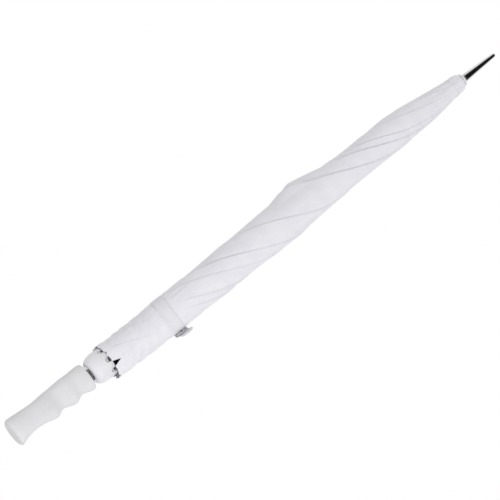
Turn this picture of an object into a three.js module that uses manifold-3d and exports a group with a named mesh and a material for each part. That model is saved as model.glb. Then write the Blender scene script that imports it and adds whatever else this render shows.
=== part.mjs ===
// Golf umbrella, furled, standing on the flat end of its grip. Millimetres, +Z up the shaft, +X towards
// the finger grooves of the grip. Eight ribs hang from a notch near the top of the shaft, and eight
// stretchers join them to a runner that slides on the shaft. Each canopy gore is one closed shell sector
// outside the ribs.
import * as THREE from "three";
import { mergeVertices } from "three/addons/utils/BufferGeometryUtils.js";
import Module from "manifold-3d";

const wasm = await Module();
wasm.setup();

// ---------------------------------------------------------------- driving dimensions
const GAP = 0.3; // clearance between pieces that touch
const RIBS = 8;
const RIB_STEP = (2 * Math.PI) / RIBS;
const BETWEEN_RIBS = RIB_STEP / 2; // azimuth of the catches and of the stop pin
const BORE_R = 7.3; // hole of every piece that sits on the shaft

// Shaft
const SHAFT_R = 7;
const SHAFT_INNER_R = 6;
const SHAFT_BOTTOM = 14;
const SHAFT_TOP = 925.4;

// Grip: front and back are the distances from the shaft axis to the grooved and the plain side
const GRIP_TOP = 138.5;
const GRIP_BORE_BOTTOM = 13;
const GRIP_FRONT = [
  [0, 17.8],
  [3, 20.3],
  [10, 18],
  [18.5, 15.8],
  [34, 14.6],
  [51, 16.7],
  [67.5, 20.4],
  [81, 15.7],
  [101.5, 21.5],
  [116, 16.6],
  [134.5, 21.6],
  [138.5, 20],
];
const GRIP_BACK = [
  [0, 20.5],
  [5, 23],
  [47, 20.3],
  [85, 21.8],
  [130, 22],
  [138.5, 21.2],
];
const GRIP_HALF_WIDTH = [
  [0, 16.5],
  [5, 18],
  [41, 15.5],
  [92, 16],
  [134.5, 17.5],
  [138.5, 17],
];
const GRIP_SIDES = 24;
const GRIP_RINGS = 20;
const GRIP_SQUARENESS = 0.85; // exponent of the superellipse section, 1 is an ellipse

// Ferrule ring and tip cup, above the grip
const RING_BOTTOM = GRIP_TOP + GAP;
const RING_TOP = 144;
const RING_R = 14.5;
const CUP_BOTTOM = RING_TOP + GAP;
const CUP_RIM_Z = 176.5;
const CUP_RIM_R = 23.9;
const CUP_SLOT_Z = 172; // middle of the round end of the slots that the rib tips lie in
const CUP_SLOT_R = 4.3;
const CUP_WALL = 1.5;
const CUP_FLOOR = 2.2;

// Notch: the crown that the ribs hinge in
const HINGE_Z = 908;
const HINGE_R = 9.3;
const NOTCH_R = 11.4;
const NOTCH_BOTTOM = 901;
const NOTCH_SLOT_TOP = 911;
const NOTCH_TOP = 914;
const SLOT_HALF_WIDTH = 1.6;

// Ribs, in their own frame: hinge at the origin, rib down -Z, outward +X, tangential Y
const RIB_LEAN = THREE.MathUtils.degToRad(1.03);
const RIB_WIDTH = 2.4;
const RIB_DEPTH = 3.4;
const RIB_WALL = 0.6;
const RIB_LENGTH = 733;
const EYE_R = 1.6;
const WIRE_R = 0.5;
const WIRE_HOLE_R = 0.85;
const PIVOT_ALONG = 322; // from the hinge to the stretcher's pivot
const PIVOT_INSET = 3.8; // from the rib's middle in to the pivot
const LUG_INNER = 1.5;
const LUG_THICK = 0.8;
const LUG_HALF_LENGTH = 1.8;
const BRACKET_HALF_LENGTH = 4;
const RIVET_R = 0.7;
const RIVET_HOLE_R = 1;
const RIVET_HEAD_R = 1.3;
const RIVET_HEAD = 0.5;

// Ball tips
const TIP_ALONG = 736;
const TIP_R = 3.5;
const TIP_SLEEVE_R = 3.05;
const TIP_SLEEVE_BORE = 2.45;
const TIP_SLEEVE_TOP = 724;
const TIP_SIDES = 10;

// Stretchers and runner
const STRETCHER_LENGTH = 336;
const STRETCHER_DEPTH = 2.2;
const RUNNER_PIVOT_R = 11.5;
const RUNNER_PIVOT_Z = 250;
const CROWN_R = 14.6;
const CROWN_HALF_HEIGHT = 5.5;
const SLEEVE_R = 9;
const SLEEVE_BOTTOM = 214;
const SLOT_INNER_R = 9.3;
const KEYWAY_HALF_WIDTH = 1.9;
const KEYWAY_R = 10.4;
const RUNNER_TRAVEL = 436.7;

// Spring catches: a finger on a leaf inside the shaft
const CATCH_REACH = 10;
const CATCH_HALF_WIDTH = 1.5;
const CATCH_HEIGHT = 19;
const CATCH_NOSE = 3.5;
const LEAF_LENGTH = 34;
const CATCH_PLAY = 0.5; // between a catch's flat face and the runner it holds
const STOP_PIN_R = 1;
const STOP_PIN_HALF_LENGTH = 9;
const STOP_PIN_HOLE_R = 1.3;

// Top end
const ROSETTE_BOTTOM = NOTCH_TOP + GAP;
const COLLAR_BOTTOM = 921;
const COLLAR_TOP = 925.4;
const COLLAR_R = 10.8;
const SPIKE_BOTTOM = 925.8;
const SPIKE_R = 6.8;
const SPIKE_END_R = 3.3;
const SPIKE_TOP = 1000;
const SPIGOT_R = 5.6;
const SPIGOT_BOTTOM = 903;

// Canopy: mean outer radius of the furled cloth by height, and how far its middle lies off the shaft
const CANOPY_R = [
  [178, 26.6],
  [200, 27.4],
  [290, 27.6],
  [440, 29],
  [530, 30.6],
  [630, 27],
  [700, 25],
  [790, 24.6],
  [850, 19.2],
  [896, 14.2],
];
const CANOPY_BOTTOM = 180;
const CANOPY_TOP = 896;
const CANOPY_ROWS = 10;
const CANOPY_COLUMNS = 4;
const CANOPY_RIB_CLEARANCE = 3.2;
const CANOPY_LEAST_WALL = 1.4; // where the cloth's sway would bring it down onto the ribs
const CANOPY_SEAM = THREE.MathUtils.degToRad(4); // left free at each rib
const SWAY_LOW = 2.4;
const SWAY_HIGH = -2.4;
const SWAY_LOW_Z = 290;
const SWAY_HIGH_Z = 790;

// Closure strap with its tab and snap
const STRAP_Z = 293;
const STRAP_HALF_WIDTH = 10;
const STRAP_THICK = 0.8;
const STRAP_R = 29.2;
const STRAP_START = THREE.MathUtils.degToRad(14);
const STRAP_END = THREE.MathUtils.degToRad(-318);
const STRAP_SLANT = 0.27; // rise of the strap for each millimetre towards +Y
const TAB_RAISE = 4.5; // how far the middle of the tab lies above the snap
const TAB_HALF_WIDTH = 12;
const TAB_PATH = [
  [22.3, 18.9],
  [29, 13],
  [35, 7.8],
  [35.3, 0],
  [36.6, -7.4],
  [39.6, -12],
];
const SNAP_SOCKET = { from: 30.1, to: 31.9, r: 6 };
const SNAP_CAP = { from: 32.2, to: 34.1, r: 7 };

// ---------------------------------------------------------------- materials
function finish(colour, roughness, metalness) {
  return new THREE.MeshStandardMaterial({ color: colour, roughness, metalness });
}
const GRIP_RUBBER = [0xe2e2e4, 0.7, 0];
const WHITE_PLASTIC = [0xe9e8ee, 0.4, 0];
const CHROME = [0xd8d8d8, 0.12, 1];
const DARK_CHROME = [0x707074, 0.15, 1];
const STEEL = [0xa8a9ac, 0.35, 1];
const CLOTH = [0xecebf2, 0.6, 0];

// ---------------------------------------------------------------- shapes
function solid(geometry) {
  const bare = geometry.clone();
  bare.deleteAttribute("normal");
  bare.deleteAttribute("uv");
  const merged = mergeVertices(bare, 1e-4);
  return new wasm.Manifold(
    new wasm.Mesh({
      numProp: 3,
      vertProperties: merged.attributes.position.array,
      triVerts: new Uint32Array(merged.index.array),
    }),
  );
}

function geometryOf(manifold) {
  const mesh = manifold.getMesh();
  const geometry = new THREE.BufferGeometry();
  geometry.setAttribute("position", new THREE.BufferAttribute(mesh.vertProperties, 3));
  geometry.setIndex(new THREE.BufferAttribute(mesh.triVerts, 1));
  geometry.computeVertexNormals();
  return geometry;
}

// A ring or disc about Z. The profile is [radius, height] points, anticlockwise with radius to the right.
function turned(profile, segments = 32) {
  const points = profile.map(([r, z]) => new THREE.Vector2(r, z));
  return new THREE.LatheGeometry(points, segments).rotateX(Math.PI / 2);
}

function tube(innerR, outerR, bottom, top, segments) {
  const profile = [
    [innerR, bottom],
    [outerR, bottom],
    [outerR, top],
    [innerR, top],
    [innerR, bottom],
  ];
  return turned(profile, segments);
}

function box(x0, x1, y0, y1, z0, z1) {
  return new THREE.BoxGeometry(x1 - x0, y1 - y0, z1 - z0).translate(
    (x0 + x1) / 2,
    (y0 + y1) / 2,
    (z0 + z1) / 2,
  );
}

// A round bar along Y, centred on (x, y, z).
function crossBar(radius, length, x, y, z, segments = 8) {
  return new THREE.CylinderGeometry(radius, radius, length, segments).translate(x, y, z);
}

// A channel along Z from z0 to z1, open towards -X.
function channel(width, depth, wall, z0, z1) {
  const w = width / 2;
  const d = depth / 2;
  const outline = new THREE.Shape([
    new THREE.Vector2(-d, -w),
    new THREE.Vector2(d, -w),
    new THREE.Vector2(d, w),
    new THREE.Vector2(-d, w),
    new THREE.Vector2(-d, w - wall),
    new THREE.Vector2(d - wall, w - wall),
    new THREE.Vector2(d - wall, wall - w),
    new THREE.Vector2(-d, wall - w),
  ]);
  const settings = { depth: z1 - z0, bevelEnabled: false };
  return new THREE.ExtrudeGeometry(outline, settings).translate(0, 0, z0);
}

// The value at z of a smooth curve through [z, value] points, held level beyond both ends.
function along(points, z) {
  const last = points.length - 1;
  if (z <= points[0][0]) return points[0][1];
  if (z >= points[last][0]) return points[last][1];
  const i = points.findIndex((p) => p[0] > z) - 1;
  const slope = (k) => {
    const a = points[Math.max(k - 1, 0)];
    const b = points[Math.min(k + 1, last)];
    return (b[1] - a[1]) / (b[0] - a[0]);
  };
  const [z0, v0] = points[i];
  const [z1, v1] = points[i + 1];
  const h = z1 - z0;
  const t = (z - z0) / h;
  const rise = t * t * (3 - 2 * t);
  const bend = t * (1 - t) * h;
  return v0 + (v1 - v0) * rise + bend * ((1 - t) * slope(i) - t * slope(i + 1));
}

// Moves every vertex of a geometry through a function of its three coordinates.
function shaped(geometry, move) {
  const position = geometry.attributes.position;
  for (let i = 0; i < position.count; i++) {
    position.setXYZ(i, ...move(position.getX(i), position.getY(i), position.getZ(i)));
  }
  geometry.computeVertexNormals();
  return geometry;
}

function signedPower(value, exponent) {
  return Math.sign(value) * Math.abs(value) ** exponent;
}

// ---------------------------------------------------------------- placing
const umbrella = new THREE.Group();

function place(name, geometry, look, parent = umbrella) {
  const mesh = new THREE.Mesh(geometry, finish(...look));
  mesh.name = name;
  parent.add(mesh);
  return mesh;
}

// A group turned to the given azimuth about the shaft.
function spoke(azimuth) {
  const group = new THREE.Group();
  group.rotation.z = azimuth;
  umbrella.add(group);
  return group;
}

// ---------------------------------------------------------------- grip, ring and cup
function gripGeometry() {
  const blank = new THREE.CylinderGeometry(1, 1, 1, GRIP_SIDES, GRIP_RINGS).rotateX(Math.PI / 2);
  const body = shaped(blank, (x, y, height) => {
    const z = (height + 0.5) * GRIP_TOP;
    const r = Math.hypot(x, y);
    if (r < 1e-6) return [0, 0, z];
    const reach = along(x > 0 ? GRIP_FRONT : GRIP_BACK, z);
    const px = reach * signedPower(x / r, GRIP_SQUARENESS);
    const py = along(GRIP_HALF_WIDTH, z) * signedPower(y / r, GRIP_SQUARENESS);
    return [px, py, z];
  });
  const bore = turned(
    [
      [0, GRIP_BORE_BOTTOM],
      [BORE_R, GRIP_BORE_BOTTOM],
      [BORE_R, GRIP_TOP + 1],
      [0, GRIP_TOP + 1],
    ],
    24,
  );
  return geometryOf(solid(body).subtract(solid(bore)));
}

place("grip", gripGeometry(), GRIP_RUBBER);
place("ferrule_ring", tube(BORE_R, RING_R, RING_BOTTOM, RING_TOP, 32), CHROME);

const cupProfile = [
  [BORE_R, CUP_BOTTOM],
  [14, CUP_BOTTOM],
  [18.8, 147.2],
  [21.8, 152],
  [23, 157.5],
  [CUP_RIM_R, CUP_RIM_Z],
  [CUP_RIM_R - CUP_WALL, CUP_RIM_Z],
  [23 - CUP_WALL, 157.5],
  [21.8 - CUP_WALL, 152.6],
  [17.4, 148.8],
  [13, CUP_BOTTOM + CUP_FLOOR],
  [BORE_R, CUP_BOTTOM + CUP_FLOOR],
  [BORE_R, CUP_BOTTOM],
];

// A slot in the rim for each rib tip, open at the top and round at the bottom.
function cupGeometry() {
  const reach = 8;
  const roundEnd = new THREE.CylinderGeometry(CUP_SLOT_R, CUP_SLOT_R, reach, 20)
    .rotateZ(Math.PI / 2)
    .translate(CUP_RIM_R, 0, CUP_SLOT_Z);
  const throughRim = CUP_RIM_Z + 1 - CUP_SLOT_Z;
  const openEnd = new THREE.BoxGeometry(reach, 2 * CUP_SLOT_R, throughRim)
    .translate(CUP_RIM_R, 0, CUP_SLOT_Z + throughRim / 2);
  const slot = solid(roundEnd).add(solid(openEnd));
  let cup = solid(turned(cupProfile, 64));
  for (let i = 0; i < RIBS; i++) {
    cup = cup.subtract(slot.rotate([0, 0, (i * 360) / RIBS]));
  }
  return geometryOf(cup);
}
place("tip_cup", cupGeometry(), WHITE_PLASTIC);

// ---------------------------------------------------------------- shaft, catches and stop pin
const lowerCatchFlat = RUNNER_PIVOT_Z + CROWN_HALF_HEIGHT + CATCH_PLAY;
const upperCatchFlat = SLEEVE_BOTTOM + RUNNER_TRAVEL - CATCH_PLAY;
const stopPinZ = RUNNER_PIVOT_Z + CROWN_HALF_HEIGHT + RUNNER_TRAVEL + STOP_PIN_R + 1;

// A catch in the XZ plane with its flat face at height flat. Its slope lies on the side that up gives,
// 1 or -1.
function catchGeometry(flat, up) {
  const at = (x, z) => new THREE.Vector2(x, flat + up * z);
  const corners = [
    at(-1, 0),
    at(CATCH_REACH, 0),
    at(CATCH_REACH, CATCH_NOSE),
    at(SHAFT_R - 0.6, CATCH_HEIGHT),
    at(0, CATCH_HEIGHT),
    at(0, CATCH_HEIGHT + LEAF_LENGTH),
    at(-1, CATCH_HEIGHT + LEAF_LENGTH),
  ];
  const outline = new THREE.Shape(up > 0 ? corners : corners.reverse());
  const settings = { depth: 2 * CATCH_HALF_WIDTH, bevelEnabled: false };
  return new THREE.ExtrudeGeometry(outline, settings)
    .rotateX(Math.PI / 2)
    .translate(0, CATCH_HALF_WIDTH, 0);
}

function catchSlot(flat, up) {
  const ends = [flat - up * GAP, flat + up * (CATCH_HEIGHT + GAP)].sort((a, b) => a - b);
  const slot = box(3, SHAFT_R + 2, -KEYWAY_HALF_WIDTH, KEYWAY_HALF_WIDTH, ...ends);
  return slot.rotateZ(BETWEEN_RIBS);
}

function shaftGeometry() {
  const pinHole = crossBar(STOP_PIN_HOLE_R, 4 * SHAFT_R, 0, 0, stopPinZ);
  const cuts = [
    catchSlot(lowerCatchFlat, 1),
    catchSlot(upperCatchFlat, -1),
    pinHole.rotateZ(BETWEEN_RIBS),
  ];
  const whole = solid(tube(SHAFT_INNER_R, SHAFT_R, SHAFT_BOTTOM, SHAFT_TOP, 24));
  return geometryOf(cuts.reduce((kept, cut) => kept.subtract(solid(cut)), whole));
}

place("shaft", shaftGeometry(), STEEL);
const catchSpoke = spoke(BETWEEN_RIBS);
place("lower_catch", catchGeometry(lowerCatchFlat, 1), STEEL, catchSpoke);
place("upper_catch", catchGeometry(upperCatchFlat, -1), STEEL, catchSpoke);
const stopPin = crossBar(STOP_PIN_R, 2 * STOP_PIN_HALF_LENGTH, 0, 0, stopPinZ);
place("stop_pin", stopPin, STEEL, catchSpoke);

// ---------------------------------------------------------------- runner and notch
function wireRing(radius, z, tubeR) {
  return new THREE.TorusGeometry(radius, tubeR, 6, 24).translate(0, 0, z);
}

// Cuts one box for each rib out of a solid.
function cutForRibs(whole, cut) {
  let kept = whole;
  for (let i = 0; i < RIBS; i++) {
    kept = kept.subtract(solid(cut.clone().rotateZ(i * RIB_STEP)));
  }
  return kept;
}

function runnerGeometry() {
  const crownBottom = RUNNER_PIVOT_Z - CROWN_HALF_HEIGHT;
  const crownTop = RUNNER_PIVOT_Z + CROWN_HALF_HEIGHT;
  const profile = [
    [BORE_R, SLEEVE_BOTTOM],
    [SLEEVE_R, SLEEVE_BOTTOM],
    [SLEEVE_R, crownBottom],
    [CROWN_R, crownBottom],
    [CROWN_R, crownTop],
    [BORE_R, crownTop],
    [BORE_R, SLEEVE_BOTTOM],
  ];
  const slot = box(
    SLOT_INNER_R,
    CROWN_R + 1,
    -SLOT_HALF_WIDTH,
    SLOT_HALF_WIDTH,
    crownBottom - 1,
    crownTop + 1,
  );
  const keyway = box(
    SHAFT_R,
    KEYWAY_R,
    -KEYWAY_HALF_WIDTH,
    KEYWAY_HALF_WIDTH,
    SLEEVE_BOTTOM - 1,
    crownTop + 1,
  ).rotateZ(BETWEEN_RIBS);
  return geometryOf(
    cutForRibs(solid(turned(profile, 32)), slot)
      .subtract(solid(keyway))
      .subtract(solid(wireRing(RUNNER_PIVOT_R, RUNNER_PIVOT_Z, WIRE_HOLE_R))),
  );
}

function notchGeometry() {
  const slot = box(
    SHAFT_R - 1,
    NOTCH_R + 1,
    -SLOT_HALF_WIDTH,
    SLOT_HALF_WIDTH,
    NOTCH_BOTTOM - 1,
    NOTCH_SLOT_TOP,
  );
  const whole = solid(tube(BORE_R, NOTCH_R, NOTCH_BOTTOM, NOTCH_TOP, 32));
  return geometryOf(
    cutForRibs(whole, slot).subtract(solid(wireRing(HINGE_R, HINGE_Z, WIRE_HOLE_R))),
  );
}

place("runner", runnerGeometry(), WHITE_PLASTIC);
place("runner_wire", wireRing(RUNNER_PIVOT_R, RUNNER_PIVOT_Z, WIRE_R), STEEL);
place("notch", notchGeometry(), WHITE_PLASTIC);
place("notch_wire", wireRing(HINGE_R, HINGE_Z, WIRE_R), STEEL);

// ---------------------------------------------------------------- ribs, tips, rivets and stretchers
function ribGeometry() {
  const bar = channel(RIB_WIDTH, RIB_DEPTH, RIB_WALL, -RIB_LENGTH, -1);
  const eye = crossBar(EYE_R, RIB_WIDTH, 0, 0, 0);
  const lugs = [-1, 1].map((side) => {
    const faces = [side * LUG_INNER, side * (LUG_INNER + LUG_THICK)].sort((a, b) => a - b);
    const back = -PIVOT_INSET - LUG_HALF_LENGTH;
    const ends = [-PIVOT_ALONG - LUG_HALF_LENGTH, -PIVOT_ALONG + LUG_HALF_LENGTH];
    return box(back, 0, ...faces, ...ends);
  });
  const half = LUG_INNER + LUG_THICK;
  const saddle = box(
    -RIB_DEPTH / 2,
    RIB_DEPTH / 2 + 0.5,
    -half,
    half,
    -PIVOT_ALONG - BRACKET_HALF_LENGTH,
    -PIVOT_ALONG + BRACKET_HALF_LENGTH,
  );
  const wireHole = crossBar(WIRE_HOLE_R, 4 * RIB_WIDTH, 0, 0, 0);
  const rivetHole = crossBar(RIVET_HOLE_R, 4 * RIB_WIDTH, -PIVOT_INSET, 0, -PIVOT_ALONG);
  const joined = [eye, saddle, ...lugs].reduce((kept, piece) => kept.add(solid(piece)), solid(bar));
  return geometryOf(joined.subtract(solid(wireHole)).subtract(solid(rivetHole)));
}

function tipGeometry() {
  const upright = (r, top, bottom) =>
    new THREE.CylinderGeometry(r, r, bottom - top, TIP_SIDES)
      .rotateX(Math.PI / 2)
      .translate(0, 0, -(bottom + top) / 2);
  const ball = new THREE.SphereGeometry(TIP_R, TIP_SIDES, 7)
    .rotateX(Math.PI / 2)
    .translate(0, 0, -TIP_ALONG);
  const sleeve = upright(TIP_SLEEVE_R, TIP_SLEEVE_TOP, TIP_ALONG - 1);
  const bore = upright(TIP_SLEEVE_BORE, TIP_SLEEVE_TOP - 5, TIP_ALONG - 2.6);
  return geometryOf(solid(ball).add(solid(sleeve)).subtract(solid(bore)));
}

function rivetGeometry() {
  const headAt = LUG_INNER + LUG_THICK + GAP + RIVET_HEAD / 2;
  const pin = crossBar(RIVET_R, 2 * headAt, -PIVOT_INSET, 0, -PIVOT_ALONG);
  const heads = [-headAt, headAt].map((y) =>
    crossBar(RIVET_HEAD_R, RIVET_HEAD, -PIVOT_INSET, y, -PIVOT_ALONG),
  );
  return geometryOf(heads.reduce((kept, head) => kept.add(solid(head)), solid(pin)));
}

// A stretcher in its own frame: rib pivot at the origin, runner pivot at -STRETCHER_LENGTH.
function stretcherGeometry() {
  const bar = channel(RIB_WIDTH, STRETCHER_DEPTH, RIB_WALL, -STRETCHER_LENGTH + 1, -1);
  const ends = [
    [0, RIVET_HOLE_R],
    [-STRETCHER_LENGTH, WIRE_HOLE_R],
  ];
  let whole = solid(bar);
  for (const [z] of ends) whole = whole.add(solid(crossBar(EYE_R, RIB_WIDTH, 0, 0, z)));
  for (const [z, hole] of ends) whole = whole.subtract(solid(crossBar(hole, 4 * RIB_WIDTH, 0, 0, z)));
  return geometryOf(whole);
}

const pivotR =
  HINGE_R + PIVOT_ALONG * Math.sin(RIB_LEAN) - PIVOT_INSET * Math.cos(RIB_LEAN);
const pivotZ =
  HINGE_Z - PIVOT_ALONG * Math.cos(RIB_LEAN) - PIVOT_INSET * Math.sin(RIB_LEAN);
const stretcherLean = Math.asin((pivotR - RUNNER_PIVOT_R) / STRETCHER_LENGTH);

for (let i = 0; i < RIBS; i++) {
  const at = spoke(i * RIB_STEP);
  const rib = new THREE.Group();
  rib.position.set(HINGE_R, 0, HINGE_Z);
  rib.rotation.y = -RIB_LEAN;
  at.add(rib);
  place(`rib_${i}`, ribGeometry(), STEEL, rib);
  place(`rib_tip_${i}`, tipGeometry(), CHROME, rib);
  place(`rivet_${i}`, rivetGeometry(), STEEL, rib);
  const stretcher = place(`stretcher_${i}`, stretcherGeometry(), STEEL, at);
  stretcher.position.set(pivotR, 0, pivotZ);
  stretcher.rotation.y = stretcherLean;
}

// ---------------------------------------------------------------- canopy
function sway(z) {
  const share = (z - SWAY_LOW_Z) / (SWAY_HIGH_Z - SWAY_LOW_Z);
  return SWAY_LOW + (SWAY_HIGH - SWAY_LOW) * THREE.MathUtils.clamp(share, 0, 1);
}

function ribR(z) {
  return HINGE_R + (HINGE_Z - z) * Math.tan(RIB_LEAN);
}

// The shell sector between rib i and the next, in the umbrella's own frame.
function goreGeometry(i) {
  const blank = new THREE.BoxGeometry(1, 1, 1, 1, CANOPY_COLUMNS, CANOPY_ROWS);
  return shaped(blank, (x, y, height) => {
    const z = CANOPY_BOTTOM + (height + 0.5) * (CANOPY_TOP - CANOPY_BOTTOM);
    const azimuth = (i + 0.5) * RIB_STEP + y * (RIB_STEP - 2 * CANOPY_SEAM);
    const inner = ribR(z) + CANOPY_RIB_CLEARANCE;
    const swayed = along(CANOPY_R, z) + sway(z) * Math.cos(azimuth);
    const r = x > 0 ? Math.max(swayed, inner + CANOPY_LEAST_WALL) : inner;
    return [r * Math.cos(azimuth), r * Math.sin(azimuth), z];
  });
}

for (let i = 0; i < RIBS; i++) {
  place(`gore_${i}`, goreGeometry(i), CLOTH);
}

const rosetteProfile = [
  [BORE_R, ROSETTE_BOTTOM],
  [12.3, ROSETTE_BOTTOM],
  [11, COLLAR_BOTTOM - GAP],
  [BORE_R, COLLAR_BOTTOM - GAP],
  [BORE_R, ROSETTE_BOTTOM],
];
place("rosette", turned(rosetteProfile, 24), CLOTH);

// ---------------------------------------------------------------- closure strap and snap
// A flat band that stands on edge along a curve in the XY plane, middleAt gives its middle's height.
function ribbon(curve, thickness, halfWidth, steps, middleAt) {
  const blank = new THREE.BoxGeometry(1, 1, 1, steps, 1, 1);
  return shaped(blank, (x, y, height) => {
    const share = x + 0.5;
    const point = curve.getPoint(share);
    const heading = curve.getTangent(share);
    return [
      point.x - y * thickness * heading.y,
      point.y + y * thickness * heading.x,
      middleAt(point) + height * 2 * halfWidth,
    ];
  });
}

const strapArc = new THREE.ArcCurve(sway(STRAP_Z), 0, STRAP_R, STRAP_START, STRAP_END, true);
const slanted = (point) => STRAP_Z + STRAP_SLANT * point.y;
place("closure_strap", ribbon(strapArc, STRAP_THICK, STRAP_HALF_WIDTH, 36, slanted), CLOTH);
const tabCurve = new THREE.SplineCurve(
  TAB_PATH.map(([x, y]) => new THREE.Vector2(x + sway(STRAP_Z), y)),
);
const level = () => STRAP_Z + TAB_RAISE;
place("strap_tab", ribbon(tabCurve, STRAP_THICK, TAB_HALF_WIDTH, 14, level), CLOTH);

function disc({ from, to, r }) {
  return new THREE.CylinderGeometry(r, r, to - from, 20)
    .rotateZ(Math.PI / 2)
    .translate((from + to) / 2 + sway(STRAP_Z), 0, STRAP_Z);
}
place("snap_socket", disc(SNAP_SOCKET), CHROME);
place("snap_cap", disc(SNAP_CAP), CHROME);

// ---------------------------------------------------------------- collar and spike
const collarProfile = [
  [BORE_R, COLLAR_BOTTOM],
  [COLLAR_R, COLLAR_BOTTOM],
  [COLLAR_R, COLLAR_TOP - 1.5],
  [COLLAR_R - 1.5, COLLAR_TOP],
  [BORE_R, COLLAR_TOP],
  [BORE_R, COLLAR_BOTTOM],
];
place("collar", turned(collarProfile, 32), WHITE_PLASTIC);

const spikeProfile = [
  [0, SPIGOT_BOTTOM],
  [SPIGOT_R, SPIGOT_BOTTOM],
  [SPIGOT_R, SPIKE_BOTTOM],
  [SPIKE_R, SPIKE_BOTTOM],
  [SPIKE_R, SPIKE_BOTTOM + 3],
  [SPIKE_R - 0.4, SPIKE_BOTTOM + 4],
  [SPIKE_END_R, SPIKE_TOP - 3],
  [SPIKE_END_R - 1, SPIKE_TOP - 0.8],
  [0, SPIKE_TOP],
];
place("spike", turned(spikeProfile, 28), DARK_CHROME);

export default umbrella;
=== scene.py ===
# Looks of a furled golf umbrella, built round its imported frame. Lengths are millimetres in the part's frame
# until mesh_piece makes a mesh of them: +Z runs up the shaft and +X points to the grooves of the grip.
# Textures and the lamp are in metres.
import math

import bpy
import numpy as np
from mathutils import Matrix, Vector


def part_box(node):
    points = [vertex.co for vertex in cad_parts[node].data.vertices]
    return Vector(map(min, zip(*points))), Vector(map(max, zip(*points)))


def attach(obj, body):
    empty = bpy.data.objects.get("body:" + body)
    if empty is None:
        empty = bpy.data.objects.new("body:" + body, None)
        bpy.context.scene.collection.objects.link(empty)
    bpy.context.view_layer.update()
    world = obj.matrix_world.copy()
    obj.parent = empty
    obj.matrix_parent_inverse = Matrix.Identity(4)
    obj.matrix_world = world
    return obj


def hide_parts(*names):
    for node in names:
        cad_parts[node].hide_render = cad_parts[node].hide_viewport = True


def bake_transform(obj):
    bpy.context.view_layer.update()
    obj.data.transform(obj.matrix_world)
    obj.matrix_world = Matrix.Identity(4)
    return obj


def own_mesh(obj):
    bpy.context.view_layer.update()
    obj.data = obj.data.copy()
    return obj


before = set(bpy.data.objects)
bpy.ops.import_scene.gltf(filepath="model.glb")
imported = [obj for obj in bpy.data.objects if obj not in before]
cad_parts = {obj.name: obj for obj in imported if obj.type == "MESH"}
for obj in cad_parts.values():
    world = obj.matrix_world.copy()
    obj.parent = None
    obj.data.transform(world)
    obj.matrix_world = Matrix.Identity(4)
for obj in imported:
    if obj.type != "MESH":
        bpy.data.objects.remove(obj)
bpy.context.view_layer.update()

# ------------------------------------------------------------------------------------ driving dimensions
MM = 0.001
RIBS = 8
RIB_STEP = 2 * math.pi / RIBS
ARC_STEPS = 5  # in each rounded corner of an outline
ARC_SHARE = 0.45  # the most of a side that a rounded corner takes
AXIS_R = 1e-4  # radius that stands for a point on the axis

# Ribs: they hinge in the notch and lean outward
HINGE_R = 9.3
HINGE_Z = 908.0
RIB_LEAN = math.radians(1.03)
RIB_BACK = 1.7  # from the rib's middle to its outer face
TIP_ALONG = 736.0
TIP_BALL_R = 3.5
TIP_BALL_TURN = math.radians(122)
TIP_NECK_STEP = 0.1
TIP_NECK_AT = 0.55  # along the rib from the ball's middle, in radii of the ball
TIP_SLEEVE_R = 3.05
TIP_SLEEVE_AT = 2.6
TIP_SLEEVE_TOP = 724.0
TIP_SLEEVE_EDGE = (0.25, 0.3)
TIP_BORE_R = 2.45
TIP_BORE_END = 733.4
TIP_BALL_RINGS = 26
TIP_SIDES = 32

# Grip: reach of its grooved and plain side from the shaft's axis, by height
GRIP_FRONT = [
    (0, 17.8), (3, 20.3), (10, 18), (18.5, 15.8), (34, 14.6), (51, 16.7), (67.5, 20.4), (81, 15.7),
    (101.5, 21.5), (116, 16.6), (134.5, 21.6), (138.5, 20),
]
GRIP_RIDGES = [
    (0, 17.8), (3, 20.3), (10, 18.7), (34, 17.8), (67.5, 20.4), (101.5, 21.5), (134.5, 21.6), (138.5, 20),
]
GRIP_BACK = [(0, 20.5), (5, 23), (47, 20.3), (85, 21.8), (130, 22), (138.5, 21.2)]
GRIP_HALF_WIDTH = [(0, 16.5), (5, 18), (41, 15.5), (92, 16), (134.5, 17.5), (138.5, 17)]
GRIP_SQUARENESS = 0.85  # power of the sine and cosine that draw its section, 1 for an ellipse
GRIP_BUTT_R = 2.6
GRIP_RIM_R = 1.0
GRIP_EDGE_RINGS = (0, 0.08, 0.3, 0.65)  # places of the rings on a rounded edge, in shares of its radius
GRIP_TOP_RINGS = (0.05, 0.6, 0.97, 1)  # and on its upper face, in shares of the way to the shaft
GRIP_BUTT_RINGS = (0.2, 0.9)  # and on the butt, in shares of its width
GRIP_RING_STEP = 0.9
GRIP_SIDES = 96
GROOVE_WRAP = 1.1  # added to the cosine of the angle from +X: at 1 or more the grooves reach all round
GROOVE_FADE = 0.8
SHAFT_HOLE_R = 7.3
GRIP_BORE_FLOOR = 13.6
GRIP_BORE_INNER = 0.3

# Ferrule ring: a groove runs round its middle
FERRULE_GROOVE_DEPTH = 0.5
FERRULE_GROOVE_MOUTH = 0.5
FERRULE_GROOVE_FLOOR = 0.2
FERRULE_EDGE_R = 1.3
FERRULE_SIDES = 96

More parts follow.
